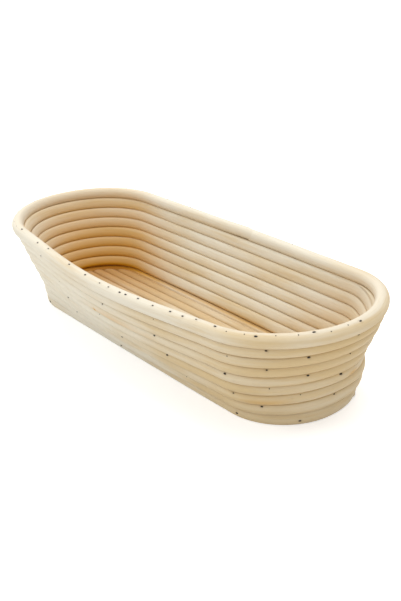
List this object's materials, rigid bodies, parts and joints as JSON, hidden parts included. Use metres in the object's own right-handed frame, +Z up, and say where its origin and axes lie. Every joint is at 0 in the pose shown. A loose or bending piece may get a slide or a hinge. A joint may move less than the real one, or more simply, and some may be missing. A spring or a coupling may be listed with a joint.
{
  "type": "proofing basket",
  "caption": "Long oval dough-proofing basket of wound rattan cane, with a flat floor of straight canes, flared stepped walls and a slightly thicker rim.",
  "frame": {"origin": "the middle of the basket, on the surface that it stands on", "axes": "+X along the basket, +Y across it, +Z up out of its mouth"},
  "size_m": [0.3496, 0.1426, 0.0696],
  "materials": {
    "floor_cane": "peeled rattan, honey coloured, satin",
    "wall_cane": "peeled rattan, pale, satin",
    "rim_cane": "peeled rattan, pale, satin",
    "pins": "darkened steel"
  },
  "bodies": {
    "root": {"floor_cane_1": "floor_cane", "floor_cane_2": "floor_cane", "floor_cane_3": "floor_cane", "floor_cane_4": "floor_cane", "floor_cane_5": "floor_cane", "floor_cane_6": "floor_cane", "floor_cane_7": "floor_cane", "floor_cane_8": "floor_cane", "floor_cane_9": "floor_cane", "lower_cane": "wall_cane", "middle_cane": "wall_cane", "upper_cane": "wall_cane", "rim_cane": "rim_cane", "floor_pins": "pins", "base_pins": "pins", "rim_pins": "pins", "seam_pins_1": "pins", "seam_pins_2": "pins", "seam_pins_3": "pins", "seam_pins_4": "pins", "seam_pins_5": "pins", "seam_pins_6": "pins", "seam_pins_7": "pins"}
  },
  "joints": []
}
